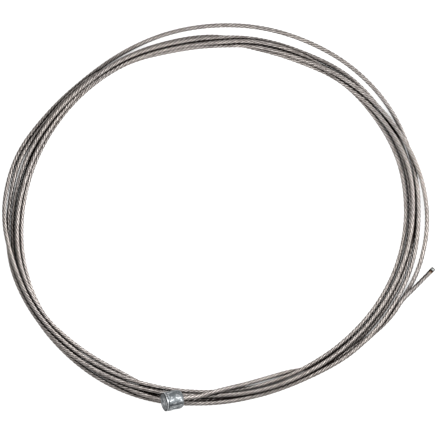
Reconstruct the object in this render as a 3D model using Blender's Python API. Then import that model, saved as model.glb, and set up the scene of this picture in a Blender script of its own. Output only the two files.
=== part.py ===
"""Shift inner cable: a coiled stranded wire with a cast barrel head, lying flat as sold.

Units are metres, +Z is up and the coil lies on Z = 0.
"""

import math

import bmesh
import bpy
import numpy as np
from mathutils import Vector

MM = 0.001

# Wire
WIRE_DIAMETER = 1.2 * MM
WIRE_RADIUS = WIRE_DIAMETER / 2
TURN_SPACING = 1.27 * MM
LEAST_SPACING = 1.235 * MM
SPACING_TOLERANCE = 0.004 * MM
TUBE_BEVEL_STEPS = 2

# Barrel head
HEAD_DIAMETER = 5.3 * MM
HEAD_LENGTH = 5.3 * MM
HEAD_EDGE_ROUND = 0.35 * MM
HEAD_EDGE_STEPS = 2
HEAD_SIDES = 32
HEAD_BEARING = math.radians(10)
HEAD_TILT = math.radians(20)
SOCKET_DEPTH = 3.0 * MM
SOCKET_CLEARANCE = 0.3 * MM
SOCKET_SIDES = 16

# Head's front face, seen from the loop's centre, and the height of that face's centre
HEAD_FRONT_X = -8.5 * MM
HEAD_FRONT_Y = -51.1 * MM
HEAD_FRONT_Z = 5.55 * MM
WIRE_LEAD = 2.2 * MM

# Free end: it leaves the loop and runs straight to a fused, rounded tip
TAIL_END_X = 60.3 * MM
TAIL_END_Y = -15.6 * MM
TAIL_END_Z = 1.65 * MM
TIP_ROUND_STEPS = ((0.55 * MM, 1.0), (0.25 * MM, 0.86), (0.08 * MM, 0.6), (0.0, 0.3))

# Loop's centre in the part's frame, so that the origin is under the middle of the whole part
LOOP_CENTRE_X = -1.444 * MM
LOOP_CENTRE_Y = 1.595 * MM

# Route, by eye from the photograph. Radii are in millimetres from the loop's centre.
# Levels say which wire lies over which where they cross, 0 being the wire on the table.
SAMPLE_STEP = 5
STATION_STEP = 15
FULL_TURN = 360
HEAD_RUN = (
    (261, 52.0, 3),
    (265, 50.8, 3),
    (270, 49.4, 2.2),
    (275, 48.5, 1),
    (280, 48.1, 0.2),
    (285, 47.9, 0),
    (290, 48.0, 0),
    (295, 48.6, 0),
    (300, 49.8, 0),
    (315, 51.5, 0),
    (330, 52.7, 0),
    (345, 53.7, 0),
)
TURN_RADII = (
    (53.9, 53.6, 52.3, 50.9, 48.4, 47.2, 47.6, 47.6, 48.2, 49.0, 50.2, 51.7,
     53.3, 54.7, 55.3, 54.6, 53.9, 53.4, 52.4, 51.8, 52.3, 54.1, 55.4, 56.2),
    (56.1, 56.1, 55.8, 54.6, 53.0, 51.7, 50.6, 50.0, 49.7, 50.2, 52.4, 55.6,
     57.0, 56.2, 55.4, 53.6, 51.7, 50.2, 49.4, 49.3, 49.6, 50.4, 51.5, 52.4),
    (52.7, 52.4, 51.1, 49.7, 47.1, 45.9, 46.4, 46.4, 47.4, 49.6, 51.3, 54.4,
     55.7, 57.0, 56.4, 55.0, 53.1, 51.4, 50.4, 50.6, 51.0, 51.8, 52.9, 53.9),
    (54.6, 54.5, 52.2, 49.7, 49.0, 47.7, 45.9, 45.9, 46.8, 48.3, 49.5, 51.2,
     53.1, 54.5, 54.3, 52.3, 50.8, 51.4, 50.6, 50.5, 51.0, 52.7, 54.0, 54.9),
    (55.1, 54.8, 53.5, 52.1, 49.8, 48.4, 47.2, 47.1, 48.0, 49.0, 50.8, 52.9,
     54.5, 55.9, 56.3, 55.8, 55.1, 53.9, 52.3, 51.9, 52.3, 54.0, 56.3, 58.3),
    (58.4, 56.5, 53.8, 50.8, 47.9, 46.4, 45.1, 45.1, 46.6, 47.7, 48.9, 50.4,
     52.0, 53.5, 54.2, 53.4, 52.6, 52.7, 51.5, 51.2, 51.6, 53.4, 56.5),
)
TURN_LEVELS = (
    (0, 0, 0, 0, 0, 0, 0, 0, 0, 0, 0, 0.1,
     0.2, 0.2, 0.3, 0.3, 0.4, 1, 2, 2, 2, 2, 2, 1),
    (0.1, 0, 0, 0, 0, 0, 0, 0, 0, 0, 0, 0,
     0.2, 1.3, 1.4, 1, 1, 0.3, 0.1, 0.1, 1, 0.3, 0.1, 0.1),
    (0, 0, 0, 0, 0, 0, 0, 0, 1, 1, 0.2, 0.1,
     0.1, 0.3, 1, 0.8, 0.9, 1, 1, 2, 2, 1, 1, 1),
    (1, 1, 1, 1, 1, 1, 1, 1, 2, 1.5, 1, 1,
     1, 1, 1, 0.6, 0, 0, 0, 0, 0, 0, 0, 0),
    (0, 0, 0, 0, 0, 0.4, 1.1, 1.1, 2.1, 2, 1, 0.3,
     0.1, 0, 0, 0, 0, 0, 0, 0, 0, 0, 0, 0),
    (0, 2, 2, 2, 2, 1.2, 0, 0, 0, 0, 0, 0,
     0, 0, 0, 0, 0, 0, 0.5, 1, 1, 1, 1.2),
)
TAIL_RUN = (
    (334, 56.95, 1.2),
    (337.5, 57.95, 1.2),
)

# Settling of the turns against each other
SMOOTHING_PASSES = 2
SETTLING_ROUNDS = 60
SAMPLES_PER_SEGMENT = 4
NEIGHBOUR_REACH = 2.4 * MM
LEAST_SHARE = 0.6
PUSH_GAIN = 1.2

# Finishes: colour, metallic, roughness
STEEL = ((0.56, 0.53, 0.51, 1.0), 1.0, 0.32)
ZINC = ((0.50, 0.53, 0.55, 1.0), 0.9, 0.45)


def stations():
    """Angles, radii and levels of the hand-chosen stations, from the head to the free end."""
    rows = list(HEAD_RUN)
    for turn, (radii, levels) in enumerate(zip(TURN_RADII, TURN_LEVELS), start=1):
        for index, (radius, level) in enumerate(zip(radii, levels)):
            rows.append((FULL_TURN * turn + STATION_STEP * index, radius, level))
    last_turn = FULL_TURN * len(TURN_RADII)
    rows += [(last_turn + angle, radius, level) for angle, radius, level in TAIL_RUN]
    angles, radii, levels = np.array(rows, float).T
    return angles, radii * MM, levels


def smooth_between(knots, values, at):
    """Cubic curve through the values, with each knot's slope taken from its neighbours."""
    span = np.diff(knots)
    slope = np.diff(values) / span
    tangent = np.empty_like(values)
    inner = slope[:-1] * span[1:] + slope[1:] * span[:-1]
    tangent[1:-1] = inner / (span[1:] + span[:-1])
    tangent[0] = slope[0]
    tangent[-1] = slope[-1]
    index = np.clip(np.searchsorted(knots, at, side="right") - 1, 0, len(knots) - 2)
    t = (at - knots[index]) / span[index]
    start = (2 * t**3 - 3 * t**2 + 1) * values[index]
    start += (t**3 - 2 * t**2 + t) * span[index] * tangent[index]
    end = (3 * t**2 - 2 * t**3) * values[index + 1]
    end += (t**3 - t**2) * span[index] * tangent[index + 1]
    return start + end


def rest_on_each_other(angle, radius, level, floor):
    """Height of each sample when the wires that share its direction are laid down in order."""
    height = floor.copy()
    for direction in range(0, FULL_TURN, SAMPLE_STEP):
        here = np.flatnonzero(angle % FULL_TURN == direction)
        order = here[np.argsort(level[here], kind="stable")]
        for place, upper in enumerate(order):
            for lower in order[:place]:
                apart = abs(radius[upper] - radius[lower])
                if apart < TURN_SPACING:
                    lift = math.sqrt(TURN_SPACING**2 - apart**2)
                    height[upper] = max(height[upper], height[lower] + lift)
    return height


def smoothed(height):
    """Each height averaged with the ones before and after it along the wire."""
    padded = np.concatenate([height[:1], height, height[-1:]])
    return (padded[:-2] + padded[1:-1] + padded[2:]) / 3


def push_apart(points):
    """The points moved until no two turns are nearer than LEAST_SPACING."""
    half_turn = FULL_TURN // SAMPLE_STEP // 2
    count = len(points)
    segment = np.repeat(np.arange(count - 1), SAMPLES_PER_SEGMENT)
    part = np.tile(np.arange(SAMPLES_PER_SEGMENT) / SAMPLES_PER_SEGMENT, count - 1)[:, None]
    sample = points[segment] + part * (points[segment + 1] - points[segment])
    middle = (points[1:] + points[:-1]) / 2
    half = np.linalg.norm(points[1:] - points[:-1], axis=1) / 2
    away = np.linalg.norm(sample[:, None] - middle[None], axis=2)
    one, other = np.nonzero(away < half[None] + NEIGHBOUR_REACH)
    another_turn = np.abs(segment[one] - other) > half_turn
    one, other = one[another_turn], other[another_turn]
    first = segment[one]
    share = part[one]
    for _ in range(SETTLING_ROUNDS):
        along = points[other + 1] - points[other]
        sample = points[first] + share * (points[first + 1] - points[first])
        reach = ((sample - points[other]) * along).sum(1) / (along * along).sum(1)
        reach = np.clip(reach, 0, 1)[:, None]
        gap = sample - points[other] - reach * along
        distance = np.linalg.norm(gap, axis=1)[:, None]
        short = np.maximum(LEAST_SPACING - distance, 0)
        if short.max() < SPACING_TOLERANCE:
            break
        push = gap / distance * short / 2
        total = np.zeros_like(points)
        weight = np.zeros((count, 1))
        ends = ((first, 1 - share, 1), (first + 1, share, 1))
        ends += ((other, 1 - reach, -1), (other + 1, reach, -1))
        for index, part_of, sign in ends:
            np.add.at(total, index, sign * part_of * push)
            np.add.at(weight, index, part_of * (short > 0))
        points = points + PUSH_GAIN * total / np.maximum(weight, LEAST_SHARE)
        points[:, 2] = np.maximum(points[:, 2], WIRE_RADIUS)
    return points


def head_axis():
    """Direction in which the wire leaves the head."""
    level_part = math.cos(HEAD_TILT)
    return np.array(
        [
            level_part * math.cos(HEAD_BEARING),
            level_part * math.sin(HEAD_BEARING),
            -math.sin(HEAD_TILT),
        ]
    )


def head_front():
    """Centre of the head's front face, from the loop's centre."""
    return np.array([HEAD_FRONT_X, HEAD_FRONT_Y, HEAD_FRONT_Z])


def coiled_points():
    """Centreline of the six turns, from just after the head to where the free end leaves."""
    knots, radii, levels = stations()
    first = math.ceil(knots[1] / SAMPLE_STEP) * SAMPLE_STEP
    angle = np.arange(first, knots[-1], SAMPLE_STEP)
    radius = smooth_between(knots, radii, angle)
    level = np.interp(angle, knots, levels)
    turned = np.radians(angle)
    flat = np.stack([radius * np.cos(turned), radius * np.sin(turned)], axis=1)
    floor = np.full(len(angle), WIRE_RADIUS)
    leaving = angle < knots[3]
    run = np.linalg.norm(flat[leaving] - head_front()[:2], axis=1)
    floor[leaving] = HEAD_FRONT_Z - math.tan(HEAD_TILT) * run
    height = rest_on_each_other(angle, radius, level, floor)
    for _ in range(SMOOTHING_PASSES):
        height = np.maximum(smoothed(height), floor)
        height = rest_on_each_other(angle, radius, level, height)
    height = np.maximum(smoothed(height), floor)
    return push_apart(np.column_stack([flat, height]))


def wire_route():
    """Centreline points of the whole wire and the tube's relative thickness at each."""
    axis = head_axis()
    front = head_front()
    inside = front - axis * (SOCKET_DEPTH - SOCKET_CLEARANCE)
    outside = front + axis * WIRE_LEAD
    coil = coiled_points()
    end = np.array([TAIL_END_X, TAIL_END_Y, TAIL_END_Z])
    onward = (end - coil[-1]) / np.linalg.norm(end - coil[-1])
    tip = [end - onward * back for back, _ in TIP_ROUND_STEPS]
    points = np.vstack([inside, outside, coil, tip])
    points[:, 0] += LOOP_CENTRE_X
    points[:, 1] += LOOP_CENTRE_Y
    thickness = [1.0] * (len(points) - len(tip)) + [size for _, size in TIP_ROUND_STEPS]
    return points, thickness


def finish(name, look):
    """A metal finish as a Principled BSDF material."""
    colour, metallic, roughness = look
    material = bpy.data.materials.new(name)
    material.use_nodes = True
    shader = material.node_tree.nodes["Principled BSDF"]
    shader.inputs["Base Color"].default_value = colour
    shader.inputs["Metallic"].default_value = metallic
    shader.inputs["Roughness"].default_value = roughness
    material.diffuse_color = colour
    return material


def new_collection(name):
    """A collection linked to the scene."""
    collection = bpy.data.collections.new(name)
    bpy.context.scene.collection.children.link(collection)
    return collection


def wire_object(collection):
    """The wire as one round tube along its whole route."""
    points, thickness = wire_route()
    curve = bpy.data.curves.new("wire_rope", "CURVE")
    curve.dimensions = "3D"
    curve.bevel_depth = WIRE_RADIUS
    curve.bevel_resolution = TUBE_BEVEL_STEPS
    curve.use_fill_caps = True
    spline = curve.splines.new("POLY")
    spline.points.add(len(points) - 1)
    for target, point, size in zip(spline.points, points, thickness):
        target.co = (*point, 1.0)
        target.radius = size
    wire = bpy.data.objects.new("wire_rope", curve)
    wire.data.materials.append(finish("stainless_steel", STEEL))
    spline.use_smooth = True
    collection.objects.link(wire)
    return wire


def round_solid(name, radius, length, sides):
    """A cylinder about Z with its lower face at the origin."""
    shape = bmesh.new()
    bmesh.ops.create_cone(
        shape,
        cap_ends=True,
        segments=sides,
        radius1=radius,
        radius2=radius,
        depth=length,
    )
    bmesh.ops.translate(shape, verts=shape.verts, vec=(0, 0, length / 2))
    mesh = bpy.data.meshes.new(name)
    shape.to_mesh(mesh)
    shape.free()
    return bpy.data.objects.new(name, mesh)


def round_rims(thing, width, steps):
    """Round the edges between a cylinder's flat faces and its side."""
    shape = bmesh.new()
    shape.from_mesh(thing.data)
    caps = [face for face in shape.faces if abs(face.normal.z) > 0.9]
    rims = {edge for face in caps for edge in face.edges}
    bmesh.ops.bevel(
        shape,
        geom=list(rims),
        offset=width,
        segments=steps,
        profile=0.5,
        affect="EDGES",
    )
    for face in shape.faces:
        face.smooth = abs(face.normal.z) < 0.9
    shape.to_mesh(thing.data)
    shape.free()


def head_object(collection, cutters):
    """The cast barrel head, with a blind socket for the wire in its front face."""
    head = round_solid("barrel_head", HEAD_DIAMETER / 2, HEAD_LENGTH, HEAD_SIDES)
    round_rims(head, HEAD_EDGE_ROUND, HEAD_EDGE_STEPS)
    head.data.materials.append(finish("cast_zinc", ZINC))
    collection.objects.link(head)
    front = Vector(head_front()) + Vector((LOOP_CENTRE_X, LOOP_CENTRE_Y, 0))
    head.location = front
    head.rotation_euler = Vector(-head_axis()).to_track_quat("Z", "Y").to_euler()

    bore = WIRE_RADIUS + SOCKET_CLEARANCE
    socket = round_solid("socket_cutter", bore, SOCKET_DEPTH * 2, SOCKET_SIDES)
    socket.location = (0, 0, -SOCKET_DEPTH)
    socket.parent = head
    socket.hide_render = True
    socket.display_type = "WIRE"
    cutters.objects.link(socket)

    cut = head.modifiers.new("socket", "BOOLEAN")
    cut.operation = "DIFFERENCE"
    cut.solver = "EXACT"
    cut.object = socket
    return head


def main():
    for thing in list(bpy.data.objects):
        bpy.data.objects.remove(thing)
    cable = new_collection("shift_cable")
    cutters = new_collection("cutters")
    cutters.hide_render = True
    wire_object(cable)
    head_object(cable, cutters)


main()
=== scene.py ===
"""Shift inner cable, dressed for the picture: stranded wire, fused tip and cast barrel head."""

import logging
import math
from dataclasses import dataclass, field
from enum import Enum

import bpy
import numpy as np
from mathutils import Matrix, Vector, noise


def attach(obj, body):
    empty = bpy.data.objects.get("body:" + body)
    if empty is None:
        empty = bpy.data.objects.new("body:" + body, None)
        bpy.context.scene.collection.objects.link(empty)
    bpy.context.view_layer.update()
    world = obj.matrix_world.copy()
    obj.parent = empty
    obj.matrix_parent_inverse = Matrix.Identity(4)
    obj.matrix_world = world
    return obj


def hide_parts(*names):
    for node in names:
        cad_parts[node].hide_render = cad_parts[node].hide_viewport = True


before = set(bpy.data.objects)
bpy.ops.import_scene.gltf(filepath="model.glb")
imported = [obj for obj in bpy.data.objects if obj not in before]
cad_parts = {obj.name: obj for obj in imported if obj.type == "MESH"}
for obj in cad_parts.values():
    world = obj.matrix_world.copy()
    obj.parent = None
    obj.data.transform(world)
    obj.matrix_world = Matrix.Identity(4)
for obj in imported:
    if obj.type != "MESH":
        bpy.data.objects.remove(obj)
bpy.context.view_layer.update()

MM = 0.001
LOG = logging.getLogger("shift_cable")

Colour = tuple[float, float, float]
Station = tuple[float, float, float]
Place = tuple[float, float, float]
Pair = tuple[float, float]
Stops = tuple[tuple[float, Colour], ...]
Socket = bpy.types.NodeSocket


class HandOfLay(Enum):
    """Which way the strands wind round the wire's axis."""

    LEFT = -1
    RIGHT = 1


class RayKind(Enum):
    """Kinds of ray that see the table as plain white."""

    CAMERA = "Is Camera Ray"
    GLOSSY = "Is Glossy Ray"
    TRANSMISSION = "Is Transmission Ray"


class Mixing(Enum):
    """Ways to put two colours or two numbers together."""

    MIX = "MIX"
    ADD = "ADD"
    MULTIPLY = "MULTIPLY"


class MaterialGraph:
    """A node material under construction, round one Principled BSDF."""

    def __init__(self, name: str) -> None:
        """Start a material with its default shader.

        Args:
            name: The material's name.
        """
        self.material = bpy.data.materials.new(name)
        self.material.use_nodes = True
        self.nodes = self.material.node_tree.nodes
        self.links = self.material.node_tree.links
        self.shader = self.nodes["Principled BSDF"]

    def add(self, kind: str, **settings: object) -> bpy.types.Node:
        """Add a node.

        Args:
            kind: Blender's identifier of the node type.
            settings: Properties to set on the node.

        Returns:
            The new node.
        """
        node = self.nodes.new(kind)
        for name, value in settings.items():
            setattr(node, name, value)
        return node

    def join(self, source: Socket, target: Socket) -> None:
        """Link an output socket to an input socket."""
        self.links.new(source, target)

    def attribute(self, name: str) -> Socket:
        """Value of a named attribute of the mesh."""
        return self.add("ShaderNodeAttribute", attribute_name=name).outputs["Fac"]

    def place(self) -> Socket:
        """Position on the piece, in metres."""
        return self.add("ShaderNodeTexCoord").outputs["Object"]

    def noise(self, at: Socket, size: float, detail: float = 3.0) -> Socket:
        """Cloudy noise.

        Args:
            at: Where the noise is read.
            size: Size of its patches, in the unit of the place.
            detail: Number of finer octaves.

        Returns:
            The noise's value, from 0 to 1.
        """
        texture = self.add("ShaderNodeTexNoise")
        texture.inputs["Scale"].default_value = 1 / size
        texture.inputs["Detail"].default_value = detail
        self.join(at, texture.inputs["Vector"])
        return texture.outputs["Fac"]

    def ramp(self, value: Socket, stops: Stops) -> Socket:
        """Colours along a value.

        Args:
            value: The value that picks the colour.
            stops: Positions from 0 to 1, with the colour at each.

        Returns:
            The colour.
        """
        ramp = self.add("ShaderNodeValToRGB")
        elements = ramp.color_ramp.elements
        while len(elements) < len(stops):
            elements.new(0.5)
        for element, (position, colour) in zip(elements, stops):
            element.position = position
            element.color = (*colour, 1.0)
        self.join(value, ramp.inputs["Fac"])
        return ramp.outputs["Color"]

    def between(self, value: Socket, low: Pair, high: Pair) -> Socket:
        """Straight-line map of a value, held at both ends.

        Args:
            value: The value to map.
            low: A value and what it becomes.
            high: A higher value and what it becomes.

        Returns:
            The mapped value.
        """
        change = self.add("ShaderNodeMapRange")
        for name, number in zip(("From Min", "To Min"), low):
            change.inputs[name].default_value = number
        for name, number in zip(("From Max", "To Max"), high):
            change.inputs[name].default_value = number
        self.join(value, change.inputs["Value"])
        return change.outputs["Result"]

    def blend(
        self,
        factor: Socket | float,
        one: Socket | Colour,
        other: Socket | Colour,
        how: Mixing = Mixing.MIX,
    ) -> Socket:
        """Two colours blended.

        Args:
            factor: How much of the other colour there is, or what says so.
            one: The first colour, or what makes it.
            other: The other colour, or what makes it.
            how: The way in which they are put together.

        Returns:
            The blended colour.
        """
        mix = self.add("ShaderNodeMix", data_type="RGBA", blend_type=how.value)
        if isinstance(factor, Socket):
            self.join(factor, mix.inputs["Factor"])
        else:
            mix.inputs["Factor"].default_value = factor
        for name, colour in (("A", one), ("B", other)):
            socket = next(s for s in mix.inputs if s.name == name and s.type == "RGBA")
            if isinstance(colour, Socket):
                self.join(colour, socket)
            else:
                socket.default_value = (*colour, 1.0)
        return next(s for s in mix.outputs if s.type == "RGBA")

    def combine(self, how: Mixing, one: Socket, other: Socket) -> Socket:
        """Two numbers added or multiplied."""
        both = self.add("ShaderNodeMath", operation=how.value)
        self.join(one, both.inputs[0])
        self.join(other, both.inputs[1])
        return both.outputs[0]

    def bump(self, height: Socket, depth: float, strength: float) -> None:
        """Roughen the shader's surface by a height of this depth in metres."""
        bump = self.add("ShaderNodeBump")
        bump.inputs["Strength"].default_value = strength
        bump.inputs["Distance"].default_value = depth
        self.join(height, bump.inputs["Height"])
        self.join(bump.outputs["Normal"], self.shader.inputs["Normal"])


@dataclass(frozen=True)
class StrandedSteel:
    """Drawn stainless wire: warm grey on the strands with pale painted glints in random patches,
    darker down the grooves between them (partly dirt, partly painted shade), and near-black
    painted shade where another turn lies close and down the free end's left side.
    """

    crest: Colour = (0.35, 0.317, 0.297)
    # pale colour of painted glints, laid in random patches over the strands
    glint: Colour = (0.62, 0.58, 0.55)
    # brown-black down the grooves between strands: partly dirt, partly painted shade
    groove: Colour = (0.11, 0.096, 0.089)
    # painted shade: near-black colour laid where another turn lies close and down the free end's
    # left side
    shade_colour: Colour = (0.010, 0.007, 0.006)
    edge: Colour = (0.25, 0.23, 0.22)
    roughness: Pair = (0.40, 0.56)
    # gloss of the surface where the painted shade turns the metal off
    shade_gloss: float = 0.04
    patch: float = 0.9 * MM
    stretch: float = 17 * MM
    stretch_detail: float = 2.0
    glint_from: Pair = (0.38, 0.0)
    glint_to: Pair = (0.65, 1.0)
    tone: Stops = ((0.35, (0.86, 0.86, 0.88)), (0.65, (1.0, 0.985, 0.97)))
    groove_from: Pair = (0.2, 0.0)
    groove_to: Pair = (0.8, 1.0)
    rough_between: Pair = (0.3, 0.7)
    # full metal in the open, none under full painted shade, so that the painted shade stays dark
    unshaded_from: Pair = (0.1, 1.0)
    unshaded_to: Pair = (0.9, 0.0)

    def make(self) -> bpy.types.Material:
        """The finish as a material that reads the wire's groove attribute and its attribute of
        painted shade.
        """
        graph = MaterialGraph("stainless_strand")
        place = graph.place()
        fine = graph.noise(place, self.patch)
        slow = graph.noise(place, self.stretch, self.stretch_detail)
        # Painted glints: pale patches laid at random over the strands.
        painted_light = graph.between(fine, self.glint_from, self.glint_to)
        crest = graph.blend(painted_light, self.crest, self.glint)
        crest = graph.blend(1.0, crest, graph.ramp(slow, self.tone), Mixing.MULTIPLY)
        # Darker down the grooves between strands: partly dirt, partly painted shade.
        depth = graph.between(graph.attribute("groove"), self.groove_from, self.groove_to)
        strand = graph.blend(depth, crest, self.groove)
        # Painted shade: near-black where another turn lies close and down the free end's left
        # side, with the metal turned off under it.
        painted_shade = graph.attribute("painted_shade")
        graph.join(graph.blend(painted_shade, strand, self.shade_colour), graph.shader.inputs["Base Color"])
        low, high = zip(self.rough_between, self.roughness)
        graph.join(graph.between(fine, low, high), graph.shader.inputs["Roughness"])
        unshaded = graph.between(painted_shade, self.unshaded_from, self.unshaded_to)
        graph.join(unshaded, graph.shader.inputs["Metallic"])
        graph.shader.inputs["Specular IOR Level"].default_value = self.shade_gloss
        graph.shader.inputs["Specular Tint"].default_value = (*self.edge, 1.0)
        return graph.material


@dataclass(frozen=True)
class FusedSteel:
    """Steel melted at the end: a dark bead with a painted highlight on its top and painted shade
    down its left side, then brown and straw tints.
    """

    # pale colour of the painted highlight on the bead's top
    bead_highlight: Colour = (0.74, 0.77, 0.74)
    # dark heat tint at the end, also used for the painted shade down the tip's left side
    oxide_and_shade: Colour = (0.022, 0.018, 0.015)
    brown: Colour = (0.13, 0.062, 0.036)
    straw: Colour = (0.46, 0.37, 0.30)
    steel: Colour = (0.42, 0.385, 0.365)
    edge: Colour = (0.12, 0.11, 0.10)
    gloss: float = 0.1
    roughness: float = 0.34
    metallic: float = 0.85
    reach: float = 2.6 * MM
    cloud_size: float = 0.5 * MM
    cloud_detail: float = 2.0
    wander_from: Pair = (0.3, -0.07)
    wander_to: Pair = (0.7, 0.07)
    tints_at: tuple[float, ...] = (0.38, 0.46, 0.58, 0.85)

    def make(self) -> bpy.types.Material:
        """The finish as a material that reads the tip's from_end attribute, the painted highlight
        on the bead's top and the painted shade down its left side.
        """
        graph = MaterialGraph("heat_tinted_steel")
        cloud = graph.noise(graph.place(), self.cloud_size, self.cloud_detail)
        wander = graph.between(cloud, self.wander_from, self.wander_to)
        shifted = graph.combine(Mixing.ADD, graph.attribute("from_end"), wander)
        tints = (self.oxide_and_shade, self.brown, self.straw, self.steel)
        tinted = graph.ramp(shifted, tuple(zip(self.tints_at, tints)))
        # Painted shade down the tip's left side, in the dark oxide colour.
        shaded = graph.blend(graph.attribute("shade"), tinted, self.oxide_and_shade)
        # Painted highlight on the top of the bead.
        topped = graph.blend(graph.attribute("bead_highlight"), shaded, self.bead_highlight)
        graph.join(topped, graph.shader.inputs["Base Color"])
        graph.shader.inputs["Metallic"].default_value = self.metallic
        graph.shader.inputs["Roughness"].default_value = self.roughness
        graph.shader.inputs["Specular IOR Level"].default_value = self.gloss
        graph.shader.inputs["Specular Tint"].default_value = (*self.edge, 1.0)
        return graph.material


@dataclass(frozen=True)
class CastZinc:
    """Blue-grey die-cast zinc with pale patches that are partly flow marks and partly painted
    highlights, dark pits, a painted highlight on the back rim and beside the seam, and painted
    shade in the recesses and along the seam.
    """

    body: Colour = (0.165, 0.18, 0.19)
    # pale patches: partly flow marks of the casting, partly painted highlights laid at random
    pale: Colour = (0.60, 0.62, 0.64)
    dark: Colour = (0.03, 0.033, 0.038)
    # pale colour of the painted highlight on the back rim and beside the seam
    glint: Colour = (0.82, 0.84, 0.85)
    roughness: Pair = (0.30, 0.55)
    metallic: float = 0.85
    patch: float = 0.8 * MM
    patch_detail: float = 4.0
    grain: float = 0.32 * MM
    pale_from: Pair = (0.52, 0.0)
    pale_to: Pair = (0.66, 1.0)
    pit_from: Pair = (0.58, 0.0)
    pit_to: Pair = (0.70, 1.0)
    glint_kept_from: Pair = (0.35, 1.0)
    glint_kept_to: Pair = (0.6, 0.25)
    rough_between: Pair = (0.35, 0.65)
    grain_depth: float = 0.05 * MM
    grain_strength: float = 0.6

    def make(self) -> bpy.types.Material:
        """The finish as a material that reads the barrel's rim attribute for painted highlight and
        its recess attribute for painted shade.
        """
        graph = MaterialGraph("cast_zinc")
        place = graph.place()
        patch = graph.noise(place, self.patch, self.patch_detail)
        grain = graph.noise(place, self.grain)
        # Pale patches: partly flow marks of the casting, partly painted highlights.
        streak = graph.between(patch, self.pale_from, self.pale_to)
        streaked = graph.blend(streak, self.body, self.pale)
        pitted = graph.blend(graph.between(grain, self.pit_from, self.pit_to), streaked, self.dark)
        # Painted shade in the recesses beside the back rim and along the seam.
        sunken = graph.blend(graph.attribute("recess"), pitted, self.dark)
        # Painted highlight on the back rim and beside the seam, broken up by the grain.
        kept = graph.between(grain, self.glint_kept_from, self.glint_kept_to)
        rim_glint = graph.combine(Mixing.MULTIPLY, graph.attribute("rim"), kept)
        coloured = graph.blend(rim_glint, sunken, self.glint)
        graph.join(coloured, graph.shader.inputs["Base Color"])
        low, high = zip(self.rough_between, reversed(self.roughness))
        graph.join(graph.between(patch, low, high), graph.shader.inputs["Roughness"])
        graph.shader.inputs["Metallic"].default_value = self.metallic
        graph.bump(grain, self.grain_depth, self.grain_strength)
        return graph.material


@dataclass(frozen=True)
class PaleTable:
    """White table that keeps soft shadows and looks white to the camera and in the metal."""

    colour: Colour = (0.16, 0.16, 0.16)
    glow: tuple[tuple[RayKind, float], ...] = (
        (RayKind.CAMERA, 1.0),
        (RayKind.GLOSSY, 0.7),
        (RayKind.TRANSMISSION, 1.0),
    )
    roughness: float = 0.9
    shade_samples: int = 8
    shade_reach: float = 4 * MM
    shade_from: Pair = (0.05, 0.0)
    shade_to: Pair = (0.3, 1.0)

    def make(self) -> bpy.types.Material:
        """The finish as a matt material with a glow for the rays that look at it."""
        graph = MaterialGraph("pale_table")
        graph.shader.inputs["Base Color"].default_value = (*self.colour, 1.0)
        graph.shader.inputs["Roughness"].default_value = self.roughness
        graph.shader.inputs["Specular IOR Level"].default_value = 0.0
        path = graph.add("ShaderNodeLightPath")
        strength = None
        for kind, level in self.glow:
            share = graph.between(path.outputs[kind.value], (0.0, 0.0), (1.0, level))
            strength = share if strength is None else graph.combine(Mixing.ADD, strength, share)
        nook = graph.add("ShaderNodeAmbientOcclusion", samples=self.shade_samples)
        nook.inputs["Distance"].default_value = self.shade_reach
        open_sky = graph.between(nook.outputs["AO"], self.shade_from, self.shade_to)
        shaded = graph.combine(Mixing.MULTIPLY, strength, open_sky)
        graph.shader.inputs["Emission Color"].default_value = (1.0, 1.0, 1.0, 1.0)
        graph.join(shaded, graph.shader.inputs["Emission Strength"])
        return graph.material


def mesh_piece(name: str, corners: np.ndarray, faces: list[tuple[int, ...]]) -> bpy.types.Object:
    """A smooth-shaded mesh object in the scene.

    Args:
        name: The piece's name.
        corners: Its vertices in metres, one row each.
        faces: Its faces as tuples of vertex numbers.

    Returns:
        The new object.
    """
    mesh = bpy.data.meshes.new(name)
    mesh.from_pydata(corners.tolist(), [], faces)
    mesh.update()
    mesh.shade_smooth()
    piece = bpy.data.objects.new(name, mesh)
    bpy.context.scene.collection.objects.link(piece)
    return piece


def ring_faces(rings: int, around: int) -> list[tuple[int, ...]]:
    """Four-sided faces between rings of vertices, with a flat cap at each end.

    Args:
        rings: Number of rings.
        around: Number of vertices in a ring.

    Returns:
        The faces, outward, for rings that run along their own axis.
    """
    ring, place = np.divmod(np.arange((rings - 1) * around), around)
    onward = (place + 1) % around
    corners = [ring * around + place, ring * around + onward]
    corners += [(ring + 1) * around + onward, (ring + 1) * around + place]
    faces = [tuple(face) for face in np.stack(corners, axis=1).tolist()]
    last = (rings - 1) * around
    faces.append(tuple(range(around - 1, -1, -1)))
    faces.append(tuple(range(last, last + around)))
    return faces


def set_values(piece: bpy.types.Object, name: str, values: np.ndarray) -> None:
    """Store one number for each vertex of a piece, for its material to read.

    Args:
        piece: The piece.
        name: The attribute's name.
        values: One number for each vertex.
    """
    layer = piece.data.attributes.new(name, "FLOAT", "POINT")
    layer.data.foreach_set("value", values.astype(np.float32).ravel())


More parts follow.
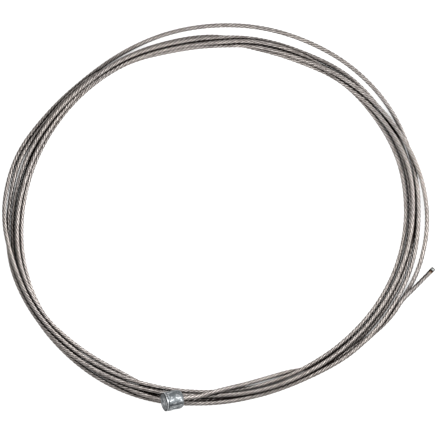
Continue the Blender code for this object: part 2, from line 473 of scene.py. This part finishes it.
@dataclass
class CoilRoute:
    """Centreline of the coiled wire, laid turn on turn as the part's source lays it."""

    wire_diameter: float = 1.2 * MM
    turn_spacing: float = 1.27 * MM
    least_spacing: float = 1.235 * MM
    spacing_tolerance: float = 0.004 * MM
    head_length: float = 5.3 * MM
    head_bearing: float = math.radians(10)
    head_tilt: float = math.radians(20)
    wire_in_head: float = 2.7 * MM
    wire_lead: float = 2.2 * MM
    head_front_from_loop: Place = (-8.5 * MM, -51.1 * MM, 5.55 * MM)
    tail_end: Place = (60.3 * MM, -15.6 * MM, 1.65 * MM)
    loop_centre: Pair = (-1.444 * MM, 1.595 * MM)
    sample_step: int = 5
    station_step: int = 15
    full_turn: int = 360
    smoothing_passes: int = 2
    settling_rounds: int = 60
    samples_per_segment: int = 4
    neighbour_reach: float = 2.4 * MM
    least_share: float = 0.6
    push_gain: float = 1.2
    longest_span: float = 4.6 * MM
    steps_per_thickness: int = 4
    head_run: tuple[Station, ...] = (
        (261, 52.0, 3),
        (265, 50.8, 3),
        (270, 49.4, 2.2),
        (275, 48.5, 1),
        (280, 48.1, 0.2),
        (285, 47.9, 0),
        (290, 48.0, 0),
        (295, 48.6, 0),
        (300, 49.8, 0),
        (315, 51.5, 0),
        (330, 52.7, 0),
        (345, 53.7, 0),
    )
    turn_radii: tuple[tuple[float, ...], ...] = (
        (53.9, 53.6, 52.3, 50.9, 48.4, 47.2, 47.6, 47.6, 48.2, 49.0, 50.2, 51.7,
         53.3, 54.7, 55.3, 54.6, 53.9, 53.4, 52.4, 51.8, 52.3, 54.1, 55.4, 56.2),
        (56.1, 56.1, 55.8, 54.6, 53.0, 51.7, 50.6, 50.0, 49.7, 50.2, 52.4, 55.6,
         57.0, 56.2, 55.4, 53.6, 51.7, 50.2, 49.4, 49.3, 49.6, 50.4, 51.5, 52.4),
        (52.7, 52.4, 51.1, 49.7, 47.1, 45.9, 46.4, 46.4, 47.4, 49.6, 51.3, 54.4,
         55.7, 57.0, 56.4, 55.0, 53.1, 51.4, 50.4, 50.6, 51.0, 51.8, 52.9, 53.9),
        (54.6, 54.5, 52.2, 49.7, 49.0, 47.7, 45.9, 45.9, 46.8, 48.3, 49.5, 51.2,
         53.1, 54.5, 54.3, 52.3, 50.8, 51.4, 50.6, 50.5, 51.0, 52.7, 54.0, 54.9),
        (55.1, 54.8, 53.5, 52.1, 49.8, 48.4, 47.2, 47.1, 48.0, 49.0, 50.8, 52.9,
         54.5, 55.9, 56.3, 55.8, 55.1, 53.9, 52.3, 51.9, 52.3, 54.0, 56.3, 58.3),
        (58.4, 56.5, 53.8, 50.8, 47.9, 46.4, 45.1, 45.1, 46.6, 47.7, 48.9, 50.4,
         52.0, 53.5, 54.2, 53.4, 52.6, 52.7, 51.5, 51.2, 51.6, 53.4, 56.5),
    )
    turn_levels: tuple[tuple[float, ...], ...] = (
        (0, 0, 0, 0, 0, 0, 0, 0, 0, 0, 0, 0.1,
         0.2, 0.2, 0.3, 0.3, 0.4, 1, 2, 2, 2, 2, 2, 1),
        (0.1, 0, 0, 0, 0, 0, 0, 0, 0, 0, 0, 0,
         0.2, 1.3, 1.4, 1, 1, 0.3, 0.1, 0.1, 1, 0.3, 0.1, 0.1),
        (0, 0, 0, 0, 0, 0, 0, 0, 1, 1, 0.2, 0.1,
         0.1, 0.3, 1, 0.8, 0.9, 1, 1, 2, 2, 1, 1, 1),
        (1, 1, 1, 1, 1, 1, 1, 1, 2, 1.5, 1, 1,
         1, 1, 1, 0.6, 0, 0, 0, 0, 0, 0, 0, 0),
        (0, 0, 0, 0, 0, 0.4, 1.1, 1.1, 2.1, 2, 1, 0.3,
         0.1, 0, 0, 0, 0, 0, 0, 0, 0, 0, 0, 0),
        (0, 2, 2, 2, 2, 1.2, 0, 0, 0, 0, 0, 0,
         0, 0, 0, 0, 0, 0, 0.5, 1, 1, 1, 1.2),
    )
    tail_run: tuple[Station, ...] = (
        (334, 56.95, 1.2),
        (337.5, 57.95, 1.2),
    )

    def head_axis(self) -> np.ndarray:
        """Direction in which the wire leaves the head."""
        level_part = math.cos(self.head_tilt)
        across = level_part * math.cos(self.head_bearing)
        along = level_part * math.sin(self.head_bearing)
        return np.array([across, along, -math.sin(self.head_tilt)])

    def head_front(self) -> np.ndarray:
        """Centre of the head's front face, in the part's frame."""
        return np.array(self.head_front_from_loop) + np.array([*self.loop_centre, 0])

    def stations(self) -> tuple[np.ndarray, np.ndarray, np.ndarray]:
        """The listed stations, from the head to the free end.

        Returns:
            Their angles in degrees, radii in metres and levels.
        """
        rows = list(self.head_run)
        pairs = zip(self.turn_radii, self.turn_levels)
        for turn, (radii, levels) in enumerate(pairs, start=1):
            for index, (radius, level) in enumerate(zip(radii, levels)):
                angle = self.full_turn * turn + self.station_step * index
                rows.append((angle, radius, level))
        last = self.full_turn * len(self.turn_radii)
        rows += [(last + angle, radius, level) for angle, radius, level in self.tail_run]
        angles, radii, levels = np.array(rows, float).T
        return angles, radii * MM, levels

    @staticmethod
    def smooth_between(knots: np.ndarray, values: np.ndarray, at: np.ndarray) -> np.ndarray:
        """Cubic curve through values, each knot's slope taken from its neighbours.

        Args:
            knots: Where the values are given, rising.
            values: The value at each knot.
            at: Where the curve is wanted.

        Returns:
            The curve's value at each place.
        """
        span = np.diff(knots)
        slope = np.diff(values) / span
        tangent = np.empty_like(values)
        inner = slope[:-1] * span[1:] + slope[1:] * span[:-1]
        tangent[1:-1] = inner / (span[1:] + span[:-1])
        tangent[0] = slope[0]
        tangent[-1] = slope[-1]
        index = np.clip(np.searchsorted(knots, at, side="right") - 1, 0, len(knots) - 2)
        t = (at - knots[index]) / span[index]
        start = (2 * t**3 - 3 * t**2 + 1) * values[index]
        start += (t**3 - 2 * t**2 + t) * span[index] * tangent[index]
        end = (3 * t**2 - 2 * t**3) * values[index + 1]
        end += (t**3 - t**2) * span[index] * tangent[index + 1]
        return start + end

    def rest_on_each_other(
        self,
        angle: np.ndarray,
        radius: np.ndarray,
        level: np.ndarray,
        floor: np.ndarray,
    ) -> np.ndarray:
        """Heights of the samples when wires that share a direction are laid down in order.

        Args:
            angle: Angle of each sample in degrees.
            radius: Its distance from the loop's centre.
            level: Its place in the order.
            floor: The least height that it may have.

        Returns:
            The height of each sample.
        """
        height = floor.copy()
        for direction in range(0, self.full_turn, self.sample_step):
            here = np.flatnonzero(angle % self.full_turn == direction)
            order = here[np.argsort(level[here], kind="stable")]
            for place, upper in enumerate(order):
                for lower in order[:place]:
                    apart = abs(radius[upper] - radius[lower])
                    if apart < self.turn_spacing:
                        lift = math.sqrt(self.turn_spacing**2 - apart**2)
                        height[upper] = max(height[upper], height[lower] + lift)
        return height

    @staticmethod
    def smoothed(height: np.ndarray) -> np.ndarray:
        """Each height averaged with the ones before and after it along the wire."""
        padded = np.concatenate([height[:1], height, height[-1:]])
        return (padded[:-2] + padded[1:-1] + padded[2:]) / 3

    def push_apart(self, points: np.ndarray) -> np.ndarray:
        """Move points until no two turns are nearer than the least spacing.

        Args:
            points: The centreline before settling.

        Returns:
            The settled centreline.
        """
        half_turn = self.full_turn // self.sample_step // 2
        parts = self.samples_per_segment
        count = len(points)
        segment = np.repeat(np.arange(count - 1), parts)
        part = np.tile(np.arange(parts) / parts, count - 1)[:, None]
        sample = points[segment] + part * (points[segment + 1] - points[segment])
        middle = (points[1:] + points[:-1]) / 2
        half = np.linalg.norm(points[1:] - points[:-1], axis=1) / 2
        away = np.linalg.norm(sample[:, None] - middle[None], axis=2)
        one, other = np.nonzero(away < half[None] + self.neighbour_reach)
        another_turn = np.abs(segment[one] - other) > half_turn
        one, other = one[another_turn], other[another_turn]
        first = segment[one]
        share = part[one]
        for _ in range(self.settling_rounds):
            along = points[other + 1] - points[other]
            sample = points[first] + share * (points[first + 1] - points[first])
            reach = ((sample - points[other]) * along).sum(1) / (along * along).sum(1)
            reach = np.clip(reach, 0, 1)[:, None]
            gap = sample - points[other] - reach * along
            distance = np.linalg.norm(gap, axis=1)[:, None]
            short = np.maximum(self.least_spacing - distance, 0)
            if short.max() < self.spacing_tolerance:
                break
            push = gap / distance * short / 2
            total = np.zeros_like(points)
            weight = np.zeros((count, 1))
            ends = ((first, 1 - share, 1), (first + 1, share, 1))
            ends += ((other, 1 - reach, -1), (other + 1, reach, -1))
            for index, part_of, sign in ends:
                np.add.at(total, index, sign * part_of * push)
                np.add.at(weight, index, part_of * (short > 0))
            points = points + self.push_gain * total / np.maximum(weight, self.least_share)
            points[:, 2] = np.maximum(points[:, 2], self.wire_diameter / 2)
        return points

    def coiled_points(self) -> np.ndarray:
        """Centreline of the six turns about the loop's centre, settled."""
        knots, radii, levels = self.stations()
        first = math.ceil(knots[1] / self.sample_step) * self.sample_step
        angle = np.arange(first, knots[-1], self.sample_step)
        radius = self.smooth_between(knots, radii, angle)
        level = np.interp(angle, knots, levels)
        turned = np.radians(angle)
        flat = np.stack([radius * np.cos(turned), radius * np.sin(turned)], axis=1)
        floor = np.full(len(angle), self.wire_diameter / 2)
        leaving = angle < knots[3]
        front = np.array(self.head_front_from_loop)
        run = np.linalg.norm(flat[leaving] - front[:2], axis=1)
        floor[leaving] = front[2] - math.tan(self.head_tilt) * run
        height = self.rest_on_each_other(angle, radius, level, floor)
        for _ in range(self.smoothing_passes):
            height = np.maximum(self.smoothed(height), floor)
            height = self.rest_on_each_other(angle, radius, level, height)
        height = np.maximum(self.smoothed(height), floor)
        return self.push_apart(np.column_stack([flat, height]))

    def knots(self) -> np.ndarray:
        """Points of the whole wire from inside the head to the tip, in the part's frame."""
        axis = self.head_axis()
        front = np.array(self.head_front_from_loop)
        inside = front - axis * self.wire_in_head
        outside = front + axis * self.wire_lead
        coil = self.coiled_points()
        end = np.array(self.tail_end)
        points = np.vstack([inside, front, outside, coil, end])
        points[:, 0] += self.loop_centre[0]
        points[:, 1] += self.loop_centre[1]
        return points

    def centreline(self, step: float) -> np.ndarray:
        """Evenly spaced points on one smooth curve through the route.

        Args:
            step: Distance between the points along the wire.

        Returns:
            The points, from inside the head to the tip.
        """
        knots = self.knots()
        span = np.linalg.norm(np.diff(knots, axis=0), axis=1)
        tail = math.ceil(span[-1] / self.longest_span)
        onward = np.linspace(0, 1, tail + 1)[1:, None]
        knots = np.vstack([knots[:-1], knots[-2] + onward * (knots[-1] - knots[-2])])
        run = np.concatenate([[0], np.cumsum(np.linalg.norm(np.diff(knots, axis=0), axis=1))])
        fine = np.arange(0, run[-1], self.wire_diameter / self.steps_per_thickness)
        fine = np.append(fine, run[-1])
        curve = np.stack([self.smooth_between(run, knots[:, k], fine) for k in range(3)], axis=1)
        curve[:, 2] = np.maximum(curve[:, 2], self.wire_diameter / 2)
        length = np.concatenate([[0], np.cumsum(np.linalg.norm(np.diff(curve, axis=0), axis=1))])
        count = round(length[-1] / step)
        at = np.linspace(0, length[-1], count + 1)
        return np.stack([np.interp(at, length, curve[:, k]) for k in range(3)], axis=1)


def frames_along(points: np.ndarray) -> tuple[np.ndarray, np.ndarray, np.ndarray]:
    """Directions along and across a curve that turn with it but don't spin round it.

    Args:
        points: The curve's points.

    Returns:
        For each point, the direction along the curve and two directions across it.
    """
    along = np.gradient(points, axis=0)
    along /= np.linalg.norm(along, axis=1)[:, None]
    side = np.empty_like(along)
    first = np.cross(along[0], (0.0, 0.0, 1.0))
    side[0] = first / np.linalg.norm(first)
    for index in range(1, len(points)):
        carried = side[index - 1] - along[index] * np.dot(side[index - 1], along[index])
        side[index] = carried / np.linalg.norm(carried)
    return along, side, np.cross(along, side)


def circle_about(axis: np.ndarray, sides: int) -> tuple[np.ndarray, np.ndarray]:
    """Directions square to an axis, evenly spaced all round it.

    Args:
        axis: The axis, as a direction that isn't upright.
        sides: Number of directions.

    Returns:
        The angle of each direction round the axis, and the directions, one row each.
    """
    side = np.cross(axis, (0.0, 0.0, 1.0))
    side /= np.linalg.norm(side)
    up = np.cross(axis, side)
    turn = np.arange(sides) * 2 * math.pi / sides
    return turn, np.cos(turn)[:, None] * side + np.sin(turn)[:, None] * up


@dataclass(frozen=True)
class TailShadeStreak:
    """Painted shade: a dark streak up the left of the free end's top, on its shaded side, placed
    in shares of the wire's radius.
    """

    leftward: Pair = (0.05, 0.35)
    upward: Pair = (0.0, 0.35)
    strength: float = 0.95

    def at(self, outward: np.ndarray, along: np.ndarray) -> np.ndarray:
        """How strong the painted shade is.

        Args:
            outward: From the wire's axis to each point, in units of the wire's radius.
            along: The way that the wire runs.

        Returns:
            From 0 off the streak to the streak's strength on it.
        """
        left = np.cross((0.0, 0.0, 1.0), along)
        left /= np.linalg.norm(left)
        share = self.strength
        reaches = ((outward @ left, self.leftward), (outward[..., 2], self.upward))
        for reach, (low, high) in reaches:
            share = share * np.clip((reach - low) / (high - low), 0, 1)
        return share


@dataclass
class WireRope:
    """The stranded wire, its strands laid round a core, as one skin along the route."""

    route: CoilRoute
    finish: StrandedSteel = field(default_factory=StrandedSteel)
    streak: TailShadeStreak = field(default_factory=TailShadeStreak)
    hand: HandOfLay = HandOfLay.LEFT
    strands: int = 5
    points_per_strand: int = 6
    lay_length: float = 6.4 * MM
    stations_per_lay: int = 9
    groove_floor: float = 0.68
    relief: float = 0.6
    # length of the free end that gets the painted shade down its left side, and its fade
    tail_shade: float = 7.6 * MM
    tail_shade_fade: float = 0.8 * MM
    bake_rows: int = 24
    bake_fill: float = 0.92
    bake_top: float = 0.985
    bake_caps: Pair = (2, 6)
    end_round: float = 2.4 * MM
    fused_share: float = 0.97
    end_share: float = 0.1
    # Reach of the search for other turns, and the clearances over which the painted shade between
    # turns fades in.
    crevice_reach: float = 2.28 * MM
    shade_near: float = 0.36 * MM
    shade_far: float = 0.41 * MM
    shade_in_groove: float = 0.09 * MM

    def around(self) -> int:
        """Number of points round the wire."""
        return self.strands * self.points_per_strand

    def section(self) -> tuple[np.ndarray, np.ndarray, np.ndarray]:
        """Outline of the wire cut across.

        Returns:
            Each point's angle, distance from the axis and depth in the groove, from 0 to 1.
        """
        radius = self.route.wire_diameter / 2
        pitch = 2 * math.pi / self.strands
        strand = radius * math.sin(pitch / 2) / (1 + math.sin(pitch / 2))
        angle = np.arange(self.around()) * 2 * math.pi / self.around()
        off = (angle + pitch / 2) % pitch - pitch / 2
        centre = radius - strand
        inside = np.maximum(strand**2 - (centre * np.sin(off)) ** 2, 0)
        distance = centre * np.cos(off) + np.sqrt(inside)
        distance = np.maximum(distance, radius * self.groove_floor)
        groove = (radius - distance) / (radius - distance.min())
        distance = radius - self.relief * (radius - distance)
        return angle, distance, groove

    def build(self) -> bpy.types.Object:
        """The wire's mesh, dressed and riding on the part.

        Returns:
            The wire's object.
        """
        step = self.lay_length / self.stations_per_lay
        centre = self.route.centreline(step)
        _, side, up = frames_along(centre)
        count = len(centre)
        step = np.linalg.norm(centre[1] - centre[0])
        angle, distance, groove = self.section()
        run = np.arange(count) * step
        to_end = run[-1] - run
        fused = np.clip(1 - to_end / self.end_round, 0, 1)[:, None]
        melted = self.route.wire_diameter / 2 * self.fused_share
        plain = distance[None] * (1 - fused) + melted * fused
        plain[-1] *= self.end_share
        spin = self.hand.value * 2 * math.pi * run / self.lay_length
        turned = spin[:, None] + angle[None]
        rings = centre[:, None] + plain[..., None] * (
            np.cos(turned)[..., None] * side[:, None] + np.sin(turned)[..., None] * up[:, None]
        )
        rope = mesh_piece("stranded_wire", rings.reshape(-1, 3), ring_faces(count, len(angle)))
        depth = np.repeat(groove[None], count, axis=0) * (1 - fused)
        set_values(rope, "groove", depth)
        outward = (rings - centre[:, None]) / (self.route.wire_diameter / 2)
        # Painted shade down the free end's left side, stored with the painted shade between turns.
        on_tail = np.clip((self.tail_shade - to_end) / self.tail_shade_fade, 0, 1)[:, None]
        shade = self.streak.at(outward, centre[-1] - centre[-2]) * on_tail
        set_values(rope, "painted_shade", np.maximum(self.crevice_shade(centre, rings), shade))
        self.crease_grooves(rope)
        self.map_for_baking(rope, count)
        rope.data.materials.append(self.finish.make())
        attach(rope, "root")
        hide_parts("wire_rope")
        self.length = float(run[-1])
        self.centre = centre
        return rope

    def crevice_shade(self, centre: np.ndarray, rings: np.ndarray) -> np.ndarray:
        """How much painted shade each point of the skin gets from lying between two neighbouring
        turns.

        Args:
            centre: The centreline's points.
            rings: The skin's points, ring by ring.

        Returns:
            From 0 in the open to 1 where another turn almost touches.
        """
        start, span = centre[:-1], np.diff(centre, axis=0)
        middle = start + span / 2
        squares = (centre**2).sum(1)[:, None] + (middle**2).sum(1)[None] - 2 * centre @ middle.T
        near = squares < self.crevice_reach**2
        half_turn = len(centre) // (2 * len(self.route.turn_radii))
        one, other = np.nonzero(near)
        another_turn = np.abs(one - other) > half_turn
        one, other = one[another_turn], other[another_turn]
        towards = rings[one] - start[other][:, None]
        step = span[other][:, None]
        share = np.clip((towards * step).sum(2) / (step * step).sum(2), 0, 1)[..., None]
        clear = np.linalg.norm(towards - share * step, axis=2) - self.route.wire_diameter / 2
        nearest = np.full(rings.shape[:2], 1.0)
        first = np.flatnonzero(np.diff(one, prepend=-1))
        nearest[one[first]] = np.minimum.reduceat(clear, first, axis=0)
        # The painted shade reaches a little further down the grooves between strands.
        nearest -= self.shade_in_groove * self.section()[2]
        return np.clip((self.shade_far - nearest) / (self.shade_far - self.shade_near), 0, 1)

    def crease_grooves(self, rope: bpy.types.Object) -> None:
        """Keep the line down each groove between two strands crisp."""
        mesh = rope.data
        ends = np.empty(len(mesh.edges) * 2, np.int32)
        mesh.edges.foreach_get("vertices", ends)
        ends = ends.reshape(-1, 2)
        along = np.abs(ends[:, 0] - ends[:, 1]) == self.around()
        in_groove = ends[:, 0] % self.points_per_strand == self.points_per_strand // 2
        mesh.edges.foreach_set("use_edge_sharp", along & in_groove)

    def map_for_baking(self, rope: bpy.types.Object, count: int) -> None:
        """Lay the wire's skin out in long rows, so that its finish keeps its detail.

        Args:
            rope: The wire's object.
            count: Number of rings in it.
        """
        mesh = rope.data
        around = self.around()
        layer = mesh.uv_layers.new(name="OFBake")
        row_length = math.ceil((count - 1) / self.bake_rows)
        ring, place = np.divmod(np.arange((count - 1) * around), around)
        row, column = np.divmod(ring, row_length)
        corners = ((0, 0), (0, 1), (1, 1), (1, 0))
        u = np.stack([(column + onward) / row_length for onward, _ in corners], axis=1)
        beside = np.array([across for _, across in corners])
        v = row[:, None] + self.bake_fill * (place[:, None] + beside) / around
        v /= self.bake_rows
        sides = np.stack([u, v * self.bake_top], axis=2).reshape(-1, 2)
        turn = np.linspace(0, 2 * math.pi, around, endpoint=False)
        size = (1 - self.bake_top) / 3
        disc = np.stack([np.cos(turn), np.sin(turn)], axis=1) * size
        first, last = (disc + (size * across, 1 - size) for across in self.bake_caps)
        layer.data.foreach_set("uv", np.vstack([sides, first, last]).astype(np.float32).ravel())

    def declare(self) -> None:
        tuple(self.route.head_front())


@dataclass
class FusedTip:
    """The wire's free end, melted into one rounded bead so that its strands can't fray."""

    route: CoilRoute
    finish: FusedSteel = field(default_factory=FusedSteel)
    streak: TailShadeStreak = field(default_factory=TailShadeStreak)
    proud: float = 0.012 * MM
    # place, length and upward reach of the painted highlight on the bead's top
    bead_centre: float = 0.52
    bead_size: float = 0.17
    bead_top: Pair = (0.6, 0.9)
    sides: int = 32
    profile: tuple[Pair, ...] = (
        (0.0, 0.12),
        (0.02, 0.45),
        (0.06, 0.66),
        (0.14, 0.84),
        (0.26, 0.95),
        (0.40, 1.0),
        (0.54, 1.0),
        (0.68, 1.0),
        (0.82, 1.0),
        (1.0, 1.0),
        (1.3, 0.985),
        (1.9, 0.965),
        (2.6, 0.9),
    )

    def build(self) -> bpy.types.Object:
        """The tip's mesh, dressed and riding on the part.

        Returns:
            The tip's object.
        """
        knots = self.route.knots()
        end = knots[-1]
        along = end - knots[-2]
        along /= np.linalg.norm(along)
        radius = self.route.wire_diameter / 2 + self.proud
        _, round_it = circle_about(along, self.sides)
        # Painted highlight on the top of the bead, round its middle.
        low, high = self.bead_top
        on_top = np.clip((round_it[:, 2] - low) / (high - low), 0, 1)
        rows = []
        values = []
        bead_highlight = []
        for back, share in reversed(self.profile):
            middle = end - along * back * MM
            rows.append(middle + radius * share * round_it)
            values.append(np.full(self.sides, back * MM / self.finish.reach))
            bead_highlight.append(on_top * math.exp(-(((back - self.bead_centre) / self.bead_size) ** 2)))
        tip = mesh_piece("fused_tip", np.vstack(rows), ring_faces(len(rows), self.sides))
        set_values(tip, "from_end", np.concatenate(values))
        set_values(tip, "bead_highlight", np.concatenate(bead_highlight))
        # Painted shade down the tip's left side.
        set_values(tip, "shade", np.tile(self.streak.at(round_it, along), len(rows)))
        tip.data.materials.append(self.finish.make())
        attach(tip, "root")
        return tip


@dataclass
class BarrelHead:
    """The cast barrel on the wire's other end, which hooks into the shift lever."""

    route: CoilRoute
    finish: CastZinc = field(default_factory=CastZinc)
    radius: float = 2.65 * MM
    front_radius: float = 2.58 * MM
    back_round: float = 0.3 * MM
    front_round: float = 1.1 * MM
    back_steps: int = 6
    front_steps: int = 8
    barrel_steps: int = 8
    back_face: tuple[Pair, ...] = (
        (0.02, 0.05),
        (0.9, 0.045),
        (1.7, 0.03),
        (1.95, 0.06),
        (2.05, 0.02),
    )
    groove_from_rim: float = 0.3 * MM
    groove_profile: tuple[Pair, ...] = ((-0.12, 0.01), (0.0, 0.06), (0.15, 0.005))
    barrel_from_groove: float = 0.4 * MM
    # Painted highlight on the back rim, of this width; painted light only outside this share of
    # the radius; painted shade in the recess beside the rim, at this place and width.
    rim_width: float = 0.12 * MM
    painted_light_outside: float = 0.85
    recess_from_rim: float = 0.3 * MM
    recess_width: float = 0.12 * MM
    collar_height: float = 0.16 * MM
    collar_profile: tuple[Pair, ...] = (
        (1.15, 0.0),
        (0.95, 0.125),
        (0.75, 0.7),
        (0.55, 1.0),
        (0.2, 1.0),
    )
    ripple: float = 0.05 * MM
    ripple_size: float = 1.3 * MM
    sides: int = 128
    seam_depth: float = 0.05 * MM
    seam_turn: float = math.radians(299)
    seam_width: float = math.radians(5)
    seam_ends: Pair = (0.8 * MM, 4.5 * MM)
    seam_edge: float = math.radians(11)
    # painted shade darkening the seam, and painted highlight along the ridge beside it
    seam_dark: float = 0.8
    seam_bright: float = 0.6

    def outline(self) -> list[Pair]:
        """Half outline of the barrel.

        Returns:
            Distances from the axis and from the back face, from the back to the front.
        """
        length = self.route.head_length
        points = [(across * MM, onward * MM) for across, onward in self.back_face]
        for step in range(self.back_steps + 1):
            turn = math.pi / 2 * step / self.back_steps
            across = self.radius - self.back_round * (1 - math.sin(turn))
            points.append((across, self.back_round * (1 - math.cos(turn))))
        dip = self.back_round + self.groove_from_rim
        for onward, depth in self.groove_profile:
            points.append((self.radius - depth * MM, dip + onward * MM))
        start = dip + self.barrel_from_groove
        stop = length - self.front_round
        for share in np.linspace(0, 1, self.barrel_steps + 1).tolist():
            across = self.radius + (self.front_radius - self.radius) * share
            points.append((across, start + (stop - start) * share))
        for step in range(1, self.front_steps + 1):
            turn = math.pi / 2 * step / self.front_steps
            across = self.front_radius - self.front_round * (1 - math.cos(turn))
            points.append((across, stop + self.front_round * math.sin(turn)))
        for across, share in self.collar_profile:
            points.append((across * MM, length + self.collar_height * share))
        return points

    def painted_light(self, onward: float, across: float) -> Pair:
        """How much painted highlight and how much painted shade the barrel gets at a point of its
        outline: a highlight on the back rim, shade in the recesses either side of it.

        Args:
            onward: Distance from the back face.
            across: Distance from the axis.

        Returns:
            The rim's value and the recess's value, from 0 to 1.
        """
        if across < self.radius * self.painted_light_outside:
            return 0.0, 0.0
        rim = math.exp(-(((onward - self.back_round) / self.rim_width) ** 2))
        inner = math.exp(-((onward / self.rim_width) ** 2))
        recess = self.back_round + self.recess_from_rim
        outer = math.exp(-(((onward - recess) / self.recess_width) ** 2))
        return rim, max(inner, outer)

    def build(self) -> bpy.types.Object:
        """The barrel's mesh, dressed and riding on the part.

        Returns:
            The barrel's object.
        """
        axis = self.route.head_axis()
        back = self.route.head_front() - axis * self.route.head_length
        turn, round_it = circle_about(axis, self.sides)
        rows = []
        rim = []
        recess = []
        for across, onward in self.outline():
            # Painted highlight on the back rim and painted shade in the recesses beside it.
            glint, sunken = self.painted_light(onward, across)
            on_seam = self.seam_ends[0] < onward < self.seam_ends[1]
            from_seam = turn - self.seam_turn
            # Painted shade along the seam, and a painted highlight along the ridge beside it.
            seam = on_seam * np.exp(-((from_seam / self.seam_width) ** 2))
            edge = on_seam * np.exp(-(((from_seam - self.seam_edge) / self.seam_width) ** 2))
            rim.append(np.maximum(glint, self.seam_bright * edge))
            recess.append(np.maximum(sunken, self.seam_dark * seam))
            ridge = self.seam_depth * (edge - seam)
            middle = back + axis * onward
            rows.append(middle + (across + ridge)[:, None] * round_it)
        corners = np.vstack(rows)
        centre = back + axis * self.route.head_length / 2
        moved = []
        for corner in corners:
            lump = noise.noise(Vector((corner - centre) / self.ripple_size))
            away = corner - centre
            moved.append(corner + away / np.linalg.norm(away) * lump * self.ripple)
        head = mesh_piece("cast_barrel_head", np.array(moved), ring_faces(len(rows), self.sides))
        set_values(head, "rim", np.concatenate(rim))
        set_values(head, "recess", np.concatenate(recess))
        head.data.materials.append(self.finish.make())
        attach(head, "root")
        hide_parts("barrel_head")
        return head


@dataclass
class Studio:
    """White table, soft even light and a camera that looks straight down."""

    finish: PaleTable = field(default_factory=PaleTable)
    table_half: float = 9.0
    table_drop: float = 0.02 * MM
    picture_width: float = 119.03 * MM
    picture_centre: Pair = (-0.079 * MM, -0.316 * MM)
    coil_height: float = 1.5 * MM
    lens: float = 500.0
    sensor: float = 36.0
    clip: Pair = (0.01, 10.0)
    horizon: Colour = (0.4, 0.4, 0.4)
    zenith: Colour = (0.66, 0.66, 0.66)
    sky_from: float = 0.0
    sky_to: float = 0.75
    centre_lamp_height: float = 70 * MM
    centre_lamp_size: float = 30 * MM
    centre_lamp_power: float = 0.04
    key_bearing: float = math.radians(5)
    key_height: float = math.radians(32)
    key_distance: float = 600 * MM
    key_size: float = 260 * MM
    key_power: float = 3.0

    def build(self) -> None:
        """Make the table, the lights and the camera."""
        self.table()
        self.light()
        self.camera()
        view = bpy.context.scene.view_settings
        view.view_transform = "Standard"

    def table(self) -> None:
        """The table."""
        half = self.table_half
        signs = np.array([(-1, -1), (1, -1), (1, 1), (-1, 1)])
        corners = np.column_stack([signs * half, np.full(len(signs), -self.table_drop)])
        table = mesh_piece("pale_table", corners, [(0, 1, 2, 3)])
        table.data.materials.append(self.finish.make())

    def light(self) -> None:
        """A sky that darkens towards the horizon, and a soft lamp over the loop's middle."""
        world = bpy.data.worlds.new("studio")
        bpy.context.scene.world = world
        world.use_nodes = True
        nodes = world.node_tree.nodes
        links = world.node_tree.links
        place = nodes.new("ShaderNodeTexCoord")
        split = nodes.new("ShaderNodeSeparateXYZ")
        ramp = nodes.new("ShaderNodeValToRGB")
        links.new(place.outputs["Generated"], split.inputs[0])
        links.new(split.outputs["Z"], ramp.inputs["Fac"])
        low, high = ramp.color_ramp.elements
        low.position, low.color = self.sky_from, (*self.horizon, 1.0)
        high.position, high.color = self.sky_to, (*self.zenith, 1.0)
        path = nodes.new("ShaderNodeLightPath")
        mix = nodes.new("ShaderNodeMix")
        mix.data_type = "RGBA"
        sockets = [socket for socket in mix.inputs if socket.type == "RGBA"]
        links.new(path.outputs[RayKind.CAMERA.value], mix.inputs["Factor"])
        links.new(ramp.outputs["Color"], sockets[0])
        sockets[1].default_value = (1.0, 1.0, 1.0, 1.0)
        mixed = next(socket for socket in mix.outputs if socket.type == "RGBA")
        links.new(mixed, nodes["Background"].inputs["Color"])
        height = self.coil_height + self.centre_lamp_height
        self.lamp("centre_lamp", (0.0, 0.0, height), self.centre_lamp_size, self.centre_lamp_power)
        level_part = math.cos(self.key_height) * self.key_distance
        place = (
            level_part * math.cos(self.key_bearing),
            level_part * math.sin(self.key_bearing),
            math.sin(self.key_height) * self.key_distance,
        )
        self.lamp("key_lamp", place, self.key_size, self.key_power)

    def lamp(self, name: str, place: Place, size: float, power: float) -> None:
        """A square soft lamp that faces the coil.

        Args:
            name: The lamp's name.
            place: Where it hangs.
            size: Length of its side.
            power: Its power in watts.
        """
        light = bpy.data.lights.new(name, "AREA")
        light.size = size
        light.energy = power
        lamp = bpy.data.objects.new(name, light)
        lamp.location = place
        lamp.rotation_euler = Vector(place).to_track_quat("Z", "Y").to_euler()
        lamp.visible_camera = False
        bpy.context.scene.collection.objects.link(lamp)

    def camera(self) -> None:
        """A long lens straight above the coil, framed as the picture is."""
        camera = bpy.data.cameras.new("camera")
        camera.lens = self.lens
        camera.sensor_width = self.sensor
        away = self.picture_width * self.lens / self.sensor
        camera.clip_start, camera.clip_end = self.clip
        seat = bpy.data.objects.new("camera", camera)
        seat.location = (*self.picture_centre, self.coil_height + away)
        bpy.context.scene.collection.objects.link(seat)
        bpy.context.scene.camera = seat


def main() -> None:
    """Build the scene, piece by piece."""
    logging.basicConfig(level=logging.INFO, format="%(name)s: %(message)s")
    Studio().build()
    LOG.info("table, lights and camera stand")
    route = CoilRoute()
    wire = WireRope(route)
    rope = wire.build()
    LOG.info("%s: %.3f m long", rope.name, wire.length)
    tip = FusedTip(route).build()
    LOG.info("%s: %d faces", tip.name, len(tip.data.polygons))
    head = BarrelHead(route).build()
    LOG.info("%s: %d faces", head.name, len(head.data.polygons))
    wire.declare()


if __name__ == "__main__":
    main()
